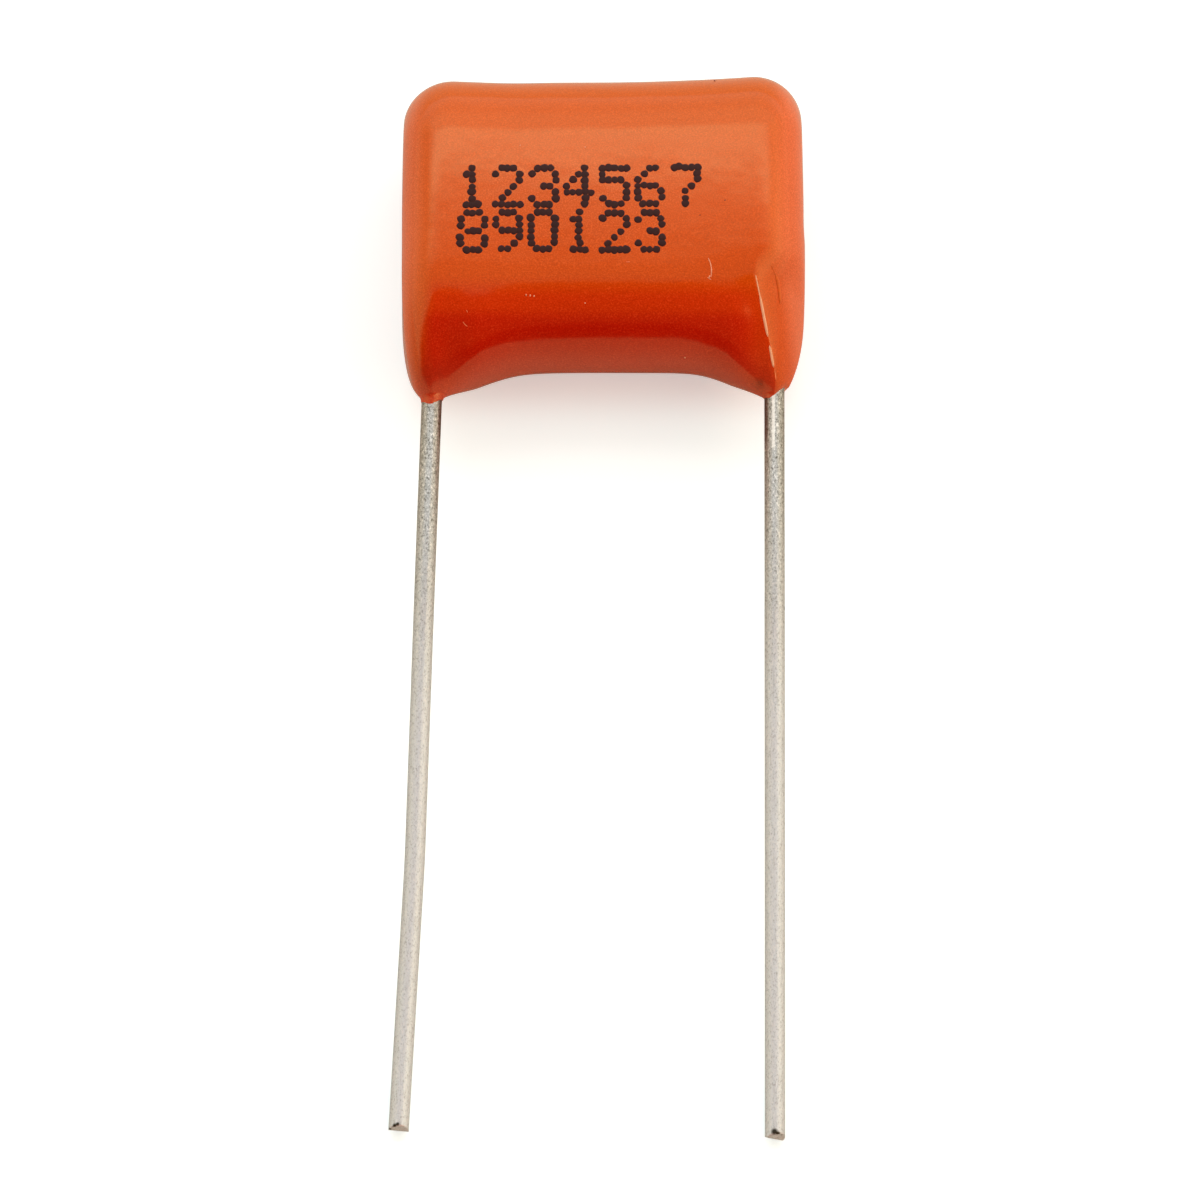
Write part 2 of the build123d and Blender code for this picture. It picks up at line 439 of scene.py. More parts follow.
class CoatForm:
    """The coat's outside as a field: zero on the surface and negative inside.

    Along the leads' pitch the coat is a racetrack with a faintly crowned face and a flat back.
    Its lower round lengthens toward each lead and closes on it as a leg.
    """

    def __init__(self, coat):
        self.coat = coat
        rng = np.random.default_rng(11)
        directions = unit(rng.normal(size=(14, 3)))
        lengths = rng.uniform(1.6, 4.5, 14) * MM
        self.wave_vectors = directions * (2 * math.pi / lengths)[:, None]
        self.wave_phases = rng.uniform(0, 2 * math.pi, 14)

    def field(self, points):
        """The body with its rounded ends, a drip down each lead, and slow waves on the face."""
        x, y, z = points[:, 0], points[:, 1], points[:, 2] - MID_Z
        leg = leg_at(x)
        fall = self.coat.cross_crown / HALF_THICKNESS * (x / HALF_WIDTH) ** 2
        z = np.where(z > 0, z * (1 + fall), z)
        body = self.with_ends(leg, x, y, self.section(leg, x, y, z))
        body = self.with_drip(leg, x, y, z, body)
        waves = np.cos(points @ self.wave_vectors.T + self.wave_phases).mean(1)
        return body + self.coat.wave * 2 * waves * smooth(-2.3 * MM, -1.5 * MM, z)

    def section(self, leg, x, y, z):
        """The racetrack along the leads' pitch, as if it had no ends."""
        face, below = z > 0, y < 0
        reach_x = np.abs(x)
        # The crown is an arc, tangent to the rounds above and below it.
        crown = self.coat.crown
        end = np.where(face, HALF_THICKNESS - crown, HALF_THICKNESS)
        crown_round = HALF_THICKNESS - crown
        arc_spread = HALF_HEIGHT - crown_round
        arc = (arc_spread**2 / crown + crown_round + HALF_THICKNESS) / 2

        # The top edge stands up at its corners. Below, the face turns down sooner at the legs.
        ear = TOP_BULGE + np.where(x < 0, *TOP_EARS) * (reach_x / LEAD_X) ** 1.8
        ear = ear - TOP_DIP * np.exp(-(((x - TOP_DIP_X) / TOP_DIP_WIDTH) ** 2))
        early = leg.early * smooth(-leg.early_width, 0, reach_x - LEAD_X + 0.5 * MM)
        shift = np.where(below, -early, ear)
        fall = leg.slope * ramp(np.minimum(reach_x, LEAD_X) - leg.start, leg.knee) + LOWER_BULGE
        spread = HALF_HEIGHT - end + shift
        reach = np.where(below, HALF_HEIGHT + fall - spread, end)
        tilt = (arc_spread + shift) / (arc - reach**2 / crown_round)
        half = np.where(face, HALF_THICKNESS - (arc_spread + shift) * tilt / 2, HALF_THICKNESS)

        # Over the leads the lower round is more of a cone, and beside them it is fuller.
        near_lead = smooth(-leg.cone_width, 0, reach_x - LEAD_X + 0.3 * MM)
        down = smooth(0.15, 0.15 + leg.cone_rise, (-spread - y) / reach)
        beside = smooth(-0.6 * MM, 1 * MM, reach_x - leg.start) * (1 - near_lead)
        power = 2 + ((leg.cone - 2) * near_lead + (leg.full - 2) * beside) * down
        lower = superellipse(-spread - y, z, reach, half, power)
        upper = np.hypot(np.maximum(y - spread, 0), z) - half
        rounds = np.where(below, lower, upper)
        crowned = np.hypot(y, z - HALF_THICKNESS + arc) - arc
        flat = np.where(face, crowned, -z - HALF_THICKNESS)
        lean = np.where(face, tilt * reach**2 / half**2, 0)
        past = np.abs(y) - spread - np.abs(z) * lean
        return flat + (rounds - flat) * smooth(-0.06 * MM, 0.06 * MM, past)

    def with_ends(self, leg, x, y, section):
        """The section cut off by bowed sides that close on the leads, with rounded corners."""
        low = np.clip((WIDEST_Y - y) / leg.run, 0, 1)
        high = np.maximum(y - WIDEST_Y, 0) / (HALF_HEIGHT - WIDEST_Y)
        bulge = (HALF_WIDTH - LEAD_X) * np.sqrt(np.maximum(1 - low**SIDE_POWER, 0.01))
        side_x = LEAD_X + bulge - self.coat.side_bow * high**2
        side_x = side_x - np.where(x < 0, 0, RIGHT_IN) * smooth(0, 0.15, high)
        bevel = leg.bevel * smooth(0, 1, (leg.bevel_top - y) / BEVEL_RUN)
        corner = np.maximum(side_x - crest_x(x, y), LEAST_CORNER) / (1 - np.sin(bevel))
        out = np.abs(x) - side_x + corner
        rim = section + corner * np.cos(bevel)
        edge = np.hypot(np.maximum(out, 0), np.maximum(rim, 0)) - corner
        edge = edge + np.minimum(np.maximum(out, rim), 0)
        return harder(section, edge, CREST_BLEND * bevel + 0.001 * MM)

    def with_drip(self, leg, x, y, z, body):
        """The body with a flared drip down each lead, cut off at its lowest point."""
        from_lead = np.abs(x) - LEAD_X
        flare = np.minimum(LEAD_RADIUS + DRIP_FLARE * (y - leg.drip_y), DRIP_RADIUS)
        cone = (np.hypot(from_lead, z) - flare) * math.cos(math.atan(DRIP_FLARE))
        body = -harder(-body, -np.maximum(cone, y - DRIP_TOP_Y), DRIP_BLEND)
        off_drip = np.hypot(x - leg.drip_x, 0.05 * MM)
        off_lead = np.maximum(np.abs(from_lead) - 1.15 * LEAD_RADIUS, 0)
        end = leg.drip_y + leg.drip_slope * off_drip - 4 * off_lead
        return harder(body, end - y, 0.05 * MM)

    def slope(self, points):
        """The field's gradient."""
        reach = 0.004 * MM
        parts = []
        for axis in np.eye(3) * reach:
            parts.append((self.field(points + axis) - self.field(points - axis)) / (2 * reach))
        return np.stack(parts, axis=1)

    def settle(self, points, rounds):
        """Moves points onto the surface along the field's gradient."""
        for _ in range(rounds):
            slope = self.slope(points)
            size = np.maximum((slope**2).sum(1), 0.05)
            shift = (self.field(points) / size)[:, None] * slope
            reach = np.linalg.norm(shift, axis=1)
            limit = np.minimum(1, 0.5 * MM / np.maximum(reach, 1e-9))
            points = points - shift * limit[:, None]
        return points

    def on_face(self, x, y):
        """Points of the marked face above these x and y, and their normals."""
        low = np.full_like(x, MID_Z)
        high = np.full_like(x, MID_Z + 1.2 * HALF_THICKNESS)
        for _ in range(30):
            middle = (low + high) / 2
            inside = self.field(np.stack([x, y, middle], 1)) < 0
            low = np.where(inside, middle, low)
            high = np.where(inside, high, middle)
        points = np.stack([x, y, (low + high) / 2], 1)
        return points, unit(self.slope(points))


def box_lattice(low, high, step):
    """Points and outward quads of a box's surface in even steps."""
    low, high = np.array(low), np.array(high)
    counts = np.maximum(np.round((high - low) / step).astype(int), 1)
    corners, quads = [], []
    for axis in range(3):
        a, b = (axis + 1) % 3, (axis + 2) % 3
        for end in (0, counts[axis]):
            i, j = np.meshgrid(np.arange(counts[a] + 1), np.arange(counts[b] + 1), indexing="ij")
            cell = np.zeros((i.size, 3), int)
            cell[:, axis], cell[:, a], cell[:, b] = end, i.ravel(), j.ravel()
            index = np.arange(i.size).reshape(i.shape) + sum(len(c) for c in corners)
            quad = np.stack([index[:-1, :-1], index[1:, :-1], index[1:, 1:], index[:-1, 1:]], -1)
            quad = quad.reshape(-1, 4)
            quads.append(quad if end else quad[:, ::-1])
            corners.append(cell)
    cells, inverse = np.unique(np.concatenate(corners), axis=0, return_inverse=True)
    quads = inverse.reshape(-1)[np.concatenate(quads)]
    return low + cells / counts * (high - low), quads


def relax(points, quads, form, rounds, passes=6):
    """Evens out the mesh, settling it back onto the surface after each round of passes."""
    edges = np.concatenate([quads[:, [i, (i + 1) % 4]] for i in range(4)])
    ends = np.concatenate([edges[:, 0], edges[:, 1]])
    others = np.concatenate([edges[:, 1], edges[:, 0]])
    count = np.bincount(ends, minlength=len(points))[:, None]
    for _ in range(rounds):
        for _ in range(passes):
            near = points[others]
            total = [np.bincount(ends, near[:, axis], len(points)) for axis in range(3)]
            points = points + 0.5 * (np.stack(total, 1) / count - points)
        points = form.settle(points, 1)
    return form.settle(points, 2)


def mesh_object(name, points, faces, material):
    """A smooth mesh object with one material that rides with the part."""
    mesh = bpy.data.meshes.new(name)
    mesh.from_pydata(np.asarray(points).tolist(), [], [list(map(int, face)) for face in faces])
    mesh.polygons.foreach_set("use_smooth", [True] * len(mesh.polygons))
    mesh.materials.append(material)
    mesh.update()
    piece = bpy.data.objects.new(name, mesh)
    bpy.context.scene.collection.objects.link(piece)
    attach(piece, "root")
    return piece


# Stains on the coat: place, size and strength.
STAINS = (
    ((-LEAD_X - 0.10 * MM, LEG_END_Y + 0.50 * MM, MID_Z + 0.8 * MM), 0.45 * MM, 0.6),
    ((LEAD_X - 0.42 * MM, LEG_END_Y + 0.42 * MM, MID_Z + 0.4 * MM), 0.20 * MM, 1.5),
)


def coat_base(shader, coat, point, cloud):
    """The epoxy's colour with painted light and shade by which way it faces (lighter top edge and
    ends, darker lower round, table bounce near the back), and its pigment's grain.
    """
    x, y, z = shader.parts(point)
    flank = rim = 0
    for side, leg, soft in ((-1, LEGS[0], 0.5 * MM), (1, LEGS[1], 0.12 * MM)):
        closing = shader.clamp((leg.crest_top - y) / (leg.crest_top - CREST_END_Y))
        past = x * side - leg.crest - (leg.crest_low - leg.crest) * closing
        flank = shader.step(past, -0.02 * MM, soft) + flank
        # Painted light: paler on the ends past each crest, where the flank lights fall.
        rim = shader.step(past, 0.45 * MM, 1.05 * MM) + rim
    front = 1 - 0.9 * flank
    right_leg = shader.step(x, 3.8 * MM, 4.7 * MM)
    # Painted light: lighter toward the top edge.
    painted_top_light = shader.clamp((y - 1.8 * MM) / (2.4 * MM))
    # Painted shade: darker down the lower round and darkest at the lower edge, kept off the
    # flanks and weaker over the right leg.
    painted_round_shade = shader.step(y, -2.3 * MM, -3.1 * MM) * front * (1 - 0.3 * right_leg)
    painted_edge_shade = shader.step(y, -3.2 * MM, -3.65 * MM) * front * (1 - 0.7 * right_leg)
    # Painted light: table bounce painted on the lower round near the back.
    low = shader.step(z, 4.1 * MM, 2.3 * MM) * shader.step(y, -2.5 * MM, -3.5 * MM) * front
    base = coat.colour
    for factor, tint in (
        (painted_top_light, coat.painted_top_light_colour),
        (painted_round_shade, coat.painted_round_shade_colour),
        (painted_edge_shade, coat.painted_edge_shade_colour),
        (low, coat.painted_table_bounce_colour),
        (rim * 0.8, coat.painted_end_light_colour),
    ):
        base = shader.blend(factor, base, tint)
    pigment = shader.grain(point, 0.045 * MM, 2, 0.7)
    shade = 0.95 + 0.10 * cloud + 0.8 * (pigment - 0.5)
    base = shader.blend(1.0, base, shader.combined(shade, shade, shade), "MULTIPLY")
    return shader.blend(shader.step(pigment, 0.45, 0.8), base, (0.03, 0.03, 0.012), "ADD")


def coat_material(coat):
    """Glossy dipped epoxy with painted light and shade: fine pigment grain, soft orange peel and
    brown stains near the leads.
    """
    shader = Shader(bpy.data.materials.new("dipped_epoxy"))
    point = shader.position()
    cloud = shader.grain(point, 1.8 * MM, 3)
    stain = 0
    for place, size, strength in STAINS:
        stain = shader.near(point, place, size, 0.8) * strength + stain
    smudge = 0.3 + 0.7 * shader.step(shader.grain(point, 0.16 * MM, 3, 0.6), 0.35, 0.7)
    stain = shader.clamp(stain * smudge * 0.5)
    normal = shader.bump(shader.grain(point, 0.55 * MM, 1.5), 0.008 * MM)
    normal = shader.bump(shader.grain(point, 0.06 * MM, 2, 0.6), 0.0012 * MM, normal)
    return shader.finish(
        Base_Color=shader.blend(stain, coat_base(shader, coat, point, cloud), coat.dirt_colour),
        Roughness=coat.roughness - 0.05 + 0.1 * cloud + 0.3 * stain,
        Specular_IOR_Level=coat.gloss,
        Specular_Tint=(1.0, 0.87, 0.42),
        Normal=normal,
    )


def dent_shade_spots():
    """Places and sizes of the painted shade in the wires' dents."""
    left_tip, right_tip = (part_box(node)[0] for node in ("lead_left", "lead_right"))
    left_x, right_x = left_tip.x + LEAD_RADIUS, right_tip.x + LEAD_RADIUS
    height = 2 * LEAD_RADIUS
    return (
        ((left_x - 0.12 * MM, left_tip.y + 0.10 * MM, height), 0.06 * MM),
        ((left_x - 0.02 * MM, left_tip.y + 0.14 * MM, height), 0.05 * MM),
        ((left_x - 0.24 * MM, left_tip.y + 0.06 * MM, height * 0.7), 0.04 * MM),
        ((right_x - 0.02 * MM, right_tip.y + 0.16 * MM, height), 0.09 * MM),
        ((right_x + 0.10 * MM, right_tip.y + 0.10 * MM, height), 0.06 * MM),
        ((right_x + 0.20 * MM, right_tip.y + 0.06 * MM, height * 0.8), 0.05 * MM),
        ((LEAD_X + LEAD_RADIUS, -11.8 * MM, 2.3 * MM), 0.06 * MM),
    )


def lead_material(lead):
    """Tinned wire: draw lines along it, fine pits, painted shade toward the coat and in its
    dents, a painted reflection of the coat and a painted highlight band.
    """
    shader = Shader(bpy.data.materials.new("tinned_wire"))
    point = shader.position()
    x, y, _ = shader.parts(point)
    lines = shader.grain(shader.stretched(point, (1, 0.03, 1)), 0.05 * MM, 3, 0.6)
    pits = shader.grain(shader.stretched(point, (1, 0.7, 1)), 0.06 * MM, 3, 0.7)
    cloud = shader.grain(shader.stretched(point, (1, 0.3, 1)), 0.6 * MM, 2)
    # Painted shade: the tin is painted darker, with more grit, toward the coat, and more metallic
    # there.
    coat_side_shade = shader.step(y, -16 * MM, -4.5 * MM)
    tin = shader.blend(coat_side_shade, lead.colour, lead.painted_shade_and_glint_colour)
    tint = shader.blend(cloud, (1.0, 0.97, 0.92), (0.95, 1.0, 0.95))
    tin = shader.blend(0.6, tin, tint, "MULTIPLY")
    grit = shader.grain(shader.stretched(point, (1, 0.6, 1)), 0.055 * MM, 2, 0.8)
    flecks = shader.step(grit, 0.52, 0.68) * (0.35 + 0.4 * coat_side_shade)
    tin = shader.blend(flecks, tin, (0.95, 0.95, 0.90))
    dark = shader.step(grit, 0.47, 0.33) * (0.3 + 0.65 * coat_side_shade)
    dark = dark + shader.step(lines, 0.5, 0.75) * 0.2
    tin = shader.blend(shader.clamp(dark), tin, (0.12, 0.115, 0.09))

    # Painted reflection: the coat's reddish brown on the wires' inner sides just below the coat.
    # Painted highlight: one bright band on the right wire there.
    inner = LEAD_X - shader.absolute(x)
    painted_coat_reflection = shader.step(inner, 0.15 * MM, 0.25 * MM) * shader.step(y, -7.1 * MM, -6.4 * MM)
    tin = shader.blend(painted_coat_reflection * 0.7, tin, (0.13, 0.055, 0.04))
    painted_highlight_band = shader.step(shader.absolute(x - 4.97 * MM), 0.065 * MM, 0.025 * MM)
    painted_highlight_band = painted_highlight_band * shader.step(y, -7.1 * MM, -6.9 * MM) * 0.7
    tin = shader.blend(painted_highlight_band, tin, (0.95, 0.93, 0.84))

    # Painted shade in the dents the cutters left at the tips, and in a nick.
    dent_shade = 0
    for place, size in dent_shade_spots():
        dent_shade = shader.near(point, place, size, 0.5) + dent_shade
    tin = shader.blend(shader.clamp(dent_shade), tin, (0.03, 0.03, 0.018))
    normal = shader.bump(lines, 0.006 * MM)
    normal = shader.bump(pits, 0.008 * MM, normal)
    return shader.finish(
        Base_Color=tin,
        Metallic=0.4 + 0.45 * coat_side_shade,
        Roughness=lead.roughness - 0.1 + 0.2 * pits,
        Normal=normal,
    )


def ink_material(marking):
    """Dark ink, slightly uneven, with the epoxy showing through its thinnest parts."""
    shader = Shader(bpy.data.materials.new("ink"))
    point = shader.position()
    patch = shader.grain(point, 0.12 * MM, 3, 0.6)
    ink = shader.blend(patch * 0.5, marking.colour, (0.09, 0.022, 0.014))
    normal = shader.bump(shader.grain(point, 0.05 * MM, 2), 0.002 * MM)
    return shader.finish(
        Base_Color=ink, Roughness=0.4 + 0.2 * patch, Specular_IOR_Level=0.2, Normal=normal
    )


def mark_material(kind, tint, roughness):
    """A mark's tint, uneven along it."""
    shader = Shader(bpy.data.materials.new(kind))
    uneven = shader.grain(shader.position(), 0.07 * MM, 2)
    paler = tuple(min(part * 1.25, 1) for part in tint)
    darker = tuple(part * 0.8 for part in tint)
    return shader.finish(
        Base_Color=shader.blend(uneven, darker, paler),
        Roughness=roughness - 0.1 + 0.2 * uneven,
        Specular_IOR_Level=0.3,
    )


def film_material():
    """Wound film seen on edge and flat: milky, with the fine lines of its turns."""
    shader = Shader(bpy.data.materials.new("wound_film"))
    turns = shader.grain(shader.stretched(shader.position(), (1, 0.05, 1)), 0.03 * MM, 1)
    return shader.finish(
        Base_Color=shader.blend(turns, (0.62, 0.63, 0.60), (0.82, 0.82, 0.79)),
        Roughness=0.3 + 0.15 * turns,
        Normal=shader.bump(turns, 0.002 * MM),
    )


def sprayed_metal_material():
    """Arc-sprayed zinc: grey, matt and grainy."""
    shader = Shader(bpy.data.materials.new("sprayed_zinc"))
    grain = shader.grain(shader.position(), 0.07 * MM, 4, 0.7)
    return shader.finish(
        Base_Color=shader.blend(grain, (0.28, 0.28, 0.28), (0.62, 0.62, 0.60)),
        Metallic=0.8,
        Roughness=0.75 - 0.2 * grain,
        Normal=shader.bump(grain, 0.03 * MM),
    )


def circle(angle, across, up):
    """Directions at these angles, from across toward up."""
    return (
        np.cos(angle)[None, :, None] * across[:, None, :]
        + np.sin(angle)[None, :, None] * up[:, None, :]
    )


def ring_quads(rings, count):
    """Quads between neighbouring rings of this many points each."""
    index = np.arange(rings * count).reshape(rings, count)
    here, there = index[:-1], index[1:]
    quads = [here, there, np.roll(there, -1, axis=1), np.roll(here, -1, axis=1)]
    return np.stack(quads, -1).reshape(-1, 4)


def centreline(node, stations):
    """Middles of a CAD lead's cross-sections at these Y."""
    mesh = frame["nodes"][node].data
    points = np.array([v.co for v in mesh.vertices])
    ends = points[np.array([e.vertices for e in mesh.edges])]
    near, far = ends[:, 0], ends[:, 1]
    middles = []
    rise = far[:, 1] - near[:, 1]
    rise = np.where(rise == 0, np.inf, rise)
    for y in stations:
        part = (y - near[:, 1]) / rise
        crossing = (part > 0) & (part < 1)
        cut = near[crossing] + part[crossing, None] * (far - near)[crossing]
        middles.append((cut.min(0) + cut.max(0)) / 2)
    return np.array(middles)


class LeadForm:
    """One tinned wire: its line, the draw lines along it and its sheared tip."""

    def __init__(self, node, roll, bevel, seed):
        self.roll = roll
        self.bevel = math.tan(bevel)
        low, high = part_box(node)
        margin = 0.4 * MM
        stations = np.linspace(high.y - margin, low.y + 2 * margin, 120)
        line = centreline(node, stations)
        kernel = np.ones(3) / 3
        inner = np.stack([np.convolve(line[:, i], kernel, "valid") for i in range(3)], 1)
        line = np.concatenate([line[:1], inner, line[-1:]])
        first = line[0] + (line[0] - line[1]) / np.linalg.norm(line[0] - line[1]) * margin
        last = line[-1] - line[-2]
        last = line[-1] + last / last[1] * (low.y + 0.03 * MM - line[-1][1])
        self.line = np.concatenate([[first], line, [last]])
        gaps = np.linalg.norm(np.diff(self.line, axis=0), axis=1)
        self.along = np.concatenate([[0], np.cumsum(gaps)])
        rng = np.random.default_rng(seed)
        count = 34
        angle = rng.uniform(0, 2 * math.pi, count)
        width = rng.uniform(0.05, 0.16, count)
        depth = rng.uniform(0.15, 1.0, count) * rng.choice([-0.5, 1], count)
        start = rng.uniform(-8, self.along[-1] / MM - 3, count) * MM
        run = rng.uniform(3, 16, count) * MM
        drift = rng.uniform(-0.02, 0.02, count) / MM
        self.draw_lines = list(zip(angle, width, depth, start, run, drift))

    def point(self, along):
        """Points of the line this far along it."""
        return np.stack([np.interp(along, self.along, self.line[:, i]) for i in range(3)], 1)

    def place(self, along):
        """Points of the line, its direction, and the two directions across it."""
        tangent = unit(self.point(along + 0.3 * MM) - self.point(along - 0.3 * MM))
        across = unit(np.cross(tangent, [0, 0, 1]))
        return self.point(along), tangent, across, np.cross(across, tangent)

    def relief(self, angle, along):
        """Height of the draw lines, from -1 to about 0.5."""
        height = np.zeros(np.broadcast(angle, along).shape)
        for middle, width, depth, start, run, drift in self.draw_lines:
            into = along - start
            turn = np.angle(np.exp(1j * (angle - middle - drift * into)))
            ends = smooth(0, 1 * MM, into) * smooth(0, 1 * MM, run - into)
            height -= depth * np.exp(-((turn / width) ** 2)) * ends
        return height

    def mesh(self, lead):
        """Points and faces of the wire."""
        count = lead.around
        angle = np.arange(count) / count * 2 * math.pi
        full = self.along[-1]
        rows = int(full / lead.step)
        along = np.linspace(0, full - 0.5 * LEAD_RADIUS, rows)
        from_edge = np.abs(np.sin(angle - self.roll))
        # The last rows lean over to the two faces of the shear.
        end = full - self.bevel * LEAD_RADIUS * from_edge
        lean = smooth(full - 5 * LEAD_RADIUS, full - 0.5 * LEAD_RADIUS, along)[:, None]
        reach = along[:, None] + lean * (end - along[-1])[None, :]
        radius = LEAD_RADIUS + lead.groove * (self.relief(angle[None, :], reach) - 0.3)
        points, tangent, across, up = self.place(along)
        shift = (reach - along[:, None])[..., None] * tangent[:, None, :]
        outward = circle(angle, across, up)
        rings = list(points[:, None, :] + shift + radius[..., None] * outward)
        for inner in (0.86, 0.68, 0.48, 0.28, 0.12):
            depth = full - self.bevel * LEAD_RADIUS * from_edge * inner - along[-1]
            flat = points[-1] + depth[:, None] * tangent[-1]
            rings.append(flat + (radius[-1] * inner)[:, None] * outward[-1])
        faces = ring_quads(len(rings), count)[:, ::-1].tolist()
        tip = points[-1] + (full - along[-1]) * tangent[-1]
        total = len(rings) * count
        last = total - count
        for i in range(count):
            j = (i + 1) % count
            faces.append([total, j, i])
            faces.append([total + 1, last + i, last + j])
        return np.concatenate([*rings, [points[0], tip]]), faces


# Each mark's kind, its half width, and the points on the face that it runs through. Millimetres.
MARKS = (
    ("lint", 0.017, ((3.06, -1.86), (3.13, -2.02), (3.16, -2.22), (3.15, -2.43))),
    ("lint", 0.045, ((3.08, -2.41), (3.12, -2.43))),
    ("lint", 0.012, ((3.04, -2.44), (3.15, -2.50))),
    ("lint", 0.030, ((-2.27, -2.94), (-2.23, -2.94))),
    ("lint", 0.030, ((-2.15, -2.95), (-2.11, -2.95))),
    ("lint", 0.028, ((-2.04, -2.96), (-2.00, -2.97))),
    ("scratch", 0.013, ((-4.10, -3.66), (-4.05, -3.73), (-3.96, -3.80))),
    ("scratch", 0.011, ((-3.99, -3.36), (-3.96, -3.43))),
    ("scratch", 0.014, ((0.66, -1.99), (0.78, -1.99))),
    ("lint", 0.018, ((-0.55, -3.14), (-0.51, -3.15))),
    ("lint", 0.020, ((-2.44, 1.64), (-2.41, 1.64))),
    ("lint", 0.018, ((-0.55, 1.58), (-0.51, 1.58))),
    ("lint", 0.030, ((2.36, -4.31), (2.41, -4.32))),
    # Painted shade: matte strips darken the fold at the right end, where it loses its reflection.
    ("crease", 0.022, ((4.88, -1.97), (4.97, -2.09), (5.04, -2.24))),
    ("crease", 0.060, ((5.03, -2.20), (5.09, -2.38), (5.14, -2.62), (5.17, -2.95))),
    ("speck", 0.040, ((3.23, 4.08), (3.28, 4.08))),
    ("speck", 0.022, ((3.54, -0.08), (3.57, -0.09))),
    ("speck", 0.020, ((2.81, -0.55), (2.84, -0.55))),
)
# Painted highlight: pale strips stand for the glint along the right leg's crest: half width, then
# its two ends along Y.
CREST_GLINT = ((0.018, -2.35, -3.1), (0.042, -2.9, -3.95), (0.036, -4.18, -4.72))


def ridge(form, path, half_width, step, flatness):
    """Points and faces of a low ridge along a path on the coat, tapered at both ends."""
    corners = np.array(path)
    gaps = np.linalg.norm(np.diff(corners, axis=0), axis=1)
    along = np.concatenate([[0], np.cumsum(gaps)])
    stations = np.linspace(0, along[-1], max(int(along[-1] / step), 8))
    x, y = (np.interp(stations, along, corners[:, axis]) for axis in (0, 1))
    points, normals = form.on_face(x, y)
    across = np.cross(unit(np.gradient(points, axis=0)), normals)
    size = half_width * np.sqrt(1 - (0.98 * (2 * stations / along[-1] - 1)) ** 4)
    sides = 10
    angle = np.arange(sides) / sides * 2 * math.pi
    shell = points[:, None, :] + size[:, None, None] * circle(angle, across, flatness * normals)
    first, last = np.arange(sides), np.arange(sides) + (len(points) - 1) * sides
    faces = [first.tolist(), last[::-1].tolist(), *ring_quads(len(points), sides).tolist()]
    return shell.reshape(-1, 3), faces


DIGITS = {
    "0": (".###.", "#...#", "#...#", "#...#", "#...#", "#...#", ".###."),
    "1": ("..#..", ".##..", "..#..", "..#..", "..#..", "..#..", ".###."),
    "2": (".###.", "#...#", "....#", "...#.", "..#..", ".#...", "#####"),
    "3": (".###.", "#...#", "....#", "..##.", "....#", "#...#", ".###."),
    "4": ("...#.", "..##.", ".#.#.", "#..#.", "#####", "...#.", "...#."),
    "5": ("#####", "#....", "####.", "....#", "....#", "#...#", ".###."),
    "6": ("..##.", ".#...", "#....", "####.", "#...#", "#...#", ".###."),
    "7": ("#####", "....#", "....#", "...#.", "..#..", "..#..", "..#.."),
    "8": (".###.", "#...#", "#...#", ".###.", "#...#", "#...#", ".###."),
    "9": (".###.", "#...#", "#...#", ".####", "....#", "...#.", ".##.."),
}


# An ink dot's section: shares of its radius, and of its height there.
DOT_PROFILE = ((0.55, 0.85), (0.85, 0.5), (1.0, -0.35))


def print_dots(marking):
    """Places of the print's dots on the face."""
    rng = np.random.default_rng(5)
    dots = []
    for line, text in enumerate((marking.first_line, marking.second_line)):
        middle = marking.first_y - line * marking.line_spacing
        for place, digit in enumerate(text):
            shift = rng.normal(0, 0.008, 2) * MM
            for row, cells in enumerate(DIGITS[digit]):
                for column, cell in enumerate(cells):
                    if cell == "#":
                        x = marking.start + (place * 6 + column) * marking.column_pitch
                        y = middle + (3 - row) * marking.row_pitch
                        dots.append(np.array([x, y]) + shift + rng.normal(0, 0.012, 2) * MM)
    return np.array(dots)


class CAPACITOR_OT_coat(bpy.types.Operator):
    """Build the dipped epoxy coat over the element"""

    bl_idname = "capacitor.coat"
    bl_label = "Epoxy Coat"

    def execute(self, context):
        coat = context.scene.capacitor_coat
        form = CoatForm(coat)
        low = (-HALF_WIDTH, min(leg.drip_y for leg in LEGS), COAT_LOW.z)
        points, quads = box_lattice(low, COAT_HIGH, coat.mesh_step)
        points = form.settle(points, 14)
        points = relax(points, quads, form, 18)
        piece = mesh_object("dipped_coat", points, quads, coat_material(coat))
        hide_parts("epoxy_coating")
        return {"FINISHED"}


class CAPACITOR_OT_leads(bpy.types.Operator):
    """Build the two tinned wires with their draw lines and sheared tips"""

    bl_idname = "capacitor.leads"
    bl_label = "Leads"

    def execute(self, context):
        lead = context.scene.capacitor_lead
        material = lead_material(lead)
        for node, roll, bevel, seed in (
            ("lead_left", math.radians(10), math.radians(16), 3),
            ("lead_right", math.radians(40), math.radians(22), 4),
        ):
            vertices, faces = LeadForm(node, roll, bevel, seed).mesh(lead)
            piece = mesh_object(node.replace("lead", "wire"), vertices, faces, material)
            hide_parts(node)
        return {"FINISHED"}


